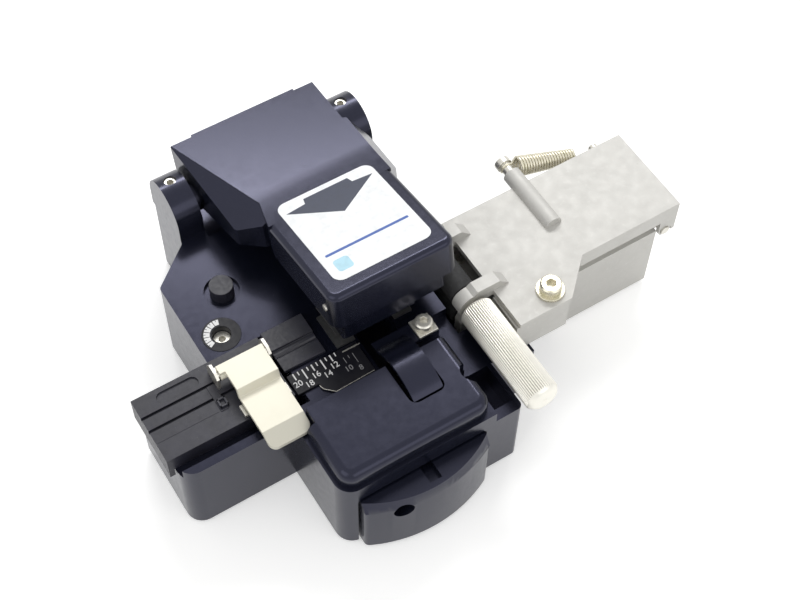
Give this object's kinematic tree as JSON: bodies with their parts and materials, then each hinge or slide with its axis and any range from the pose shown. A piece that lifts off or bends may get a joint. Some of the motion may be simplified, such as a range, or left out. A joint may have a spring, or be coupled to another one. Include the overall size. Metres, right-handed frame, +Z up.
{
  "type": "optical fibre cleaver",
  "caption": "Bench fibre cleaver: hinged clamp lid, sliding blade carriage, fibre adapter with ruler, and a scrap collector with a knurled feed knob.",
  "frame": {"origin": "middle of the rubber pad's underside, where the cleaver rests on the bench", "axes": "+X to the right towards the scrap collector, +Y to the back towards the lid hinge, +Z up"},
  "size_m": [0.1143, 0.0845, 0.0417],
  "materials": {
    "black_enamel": "gloss",
    "black_satin": "satin",
    "black_plastic": "matte",
    "cream_nickel": "satin",
    "grey_casting": "satin",
    "bright_steel": "bright",
    "zinc_brass": "bright",
    "black_rubber": "matte",
    "carbide": "ground"
  },
  "bodies": {
    "base": {"base_pad": "black_rubber", "base_housing": "black_enamel", "front_deck": "black_enamel", "blade_guard": "black_enamel", "square_washer": "bright_steel", "deck_screw": "bright_steel", "ear_set_screws": "bright_steel", "hinge_pin": "bright_steel", "ruler_plate": "black_satin", "fibre_adapter": "black_plastic", "fibre_guide": "black_plastic", "clamp_bracket": "bright_steel", "clamp_pin": "bright_steel", "clamp_keeper": "bright_steel", "dial_ring": "black_satin", "guide_rods": "bright_steel", "lower_seats": "bright_steel", "lower_pads": "black_rubber", "scrap_bin": "grey_casting", "bracket_screws": "bright_steel", "collector_pin": "bright_steel", "roller_posts": "grey_casting"},
    "lid": {"lid_shell": "black_enamel", "upper_clamp_block": "black_enamel", "upper_pads": "black_rubber", "lid_anvil": "bright_steel", "block_pin": "bright_steel"},
    "slider": {"slider_handle": "black_enamel", "slider_carriage": "black_satin", "blade_axle": "bright_steel"},
    "blade": {"blade_wheel": "carbide"},
    "clamp": {"fibre_clamp": "cream_nickel", "clamp_pad": "black_rubber"},
    "button": {"release_button": "black_plastic"},
    "dial": {"dial_screw": "bright_steel"},
    "collector_lid": {"collector_cover": "grey_casting", "cover_washer": "zinc_brass", "cover_screw": "zinc_brass", "spring_post": "bright_steel"},
    "feed": {"feed_roller": "black_rubber", "feed_shaft": "bright_steel", "feed_knob": "bright_steel"},
    "idle": {"idle_roller": "black_rubber", "idle_shaft": "bright_steel"}
  },
  "joints": [
    {"name": "lid_hinge", "type": "hinge", "parent": "base", "child": "lid", "pos_m": [0, 0.0328, 0.0257], "axis": [-1, 0, 0], "range_deg": [-5, 60]},
    {"name": "slider_travel", "type": "slide", "parent": "base", "child": "slider", "axis": [0, 1, 0], "range_m": [0, 0.024]},
    {"name": "blade_turn", "type": "hinge", "parent": "slider", "child": "blade", "pos_m": [0.0049, -0.0236, 0.0146], "axis": [1, 0, 0], "continuous": true},
    {"name": "clamp_hinge", "type": "hinge", "parent": "base", "child": "clamp", "pos_m": [-0.022, -0.0064, 0.0255], "axis": [-1, 0, 0], "range_deg": [0, 100]},
    {"name": "button_press", "type": "slide", "parent": "base", "child": "button", "axis": [0, 0, -1], "range_m": [0, 0.0015], "stiffness_N_per_m": 400},
    {"name": "dial_turn", "type": "hinge", "parent": "base", "child": "dial", "pos_m": [-0.0222, 0.0031, 0.02], "axis": [0, 0, 1], "range_deg": [-150, 150]},
    {"name": "collector_lid_hinge", "type": "hinge", "parent": "base", "child": "collector_lid", "pos_m": [0.068, 0, 0.0178], "axis": [0, 1, 0], "range_deg": [0, 95]},
    {"name": "feed_roller_turn", "type": "hinge", "parent": "collector_lid", "child": "feed", "pos_m": [0.022, 0, 0.0235], "axis": [0, 1, 0], "continuous": true},
    {"name": "idle_roller_turn", "type": "hinge", "parent": "base", "child": "idle", "pos_m": [0.022, 0, 0.0175], "axis": [0, 1, 0], "continuous": true}
  ],
  "couplings": [
    {"joint": "idle_roller_turn", "follows": "feed_roller_turn", "ratio": -1}
  ]
}
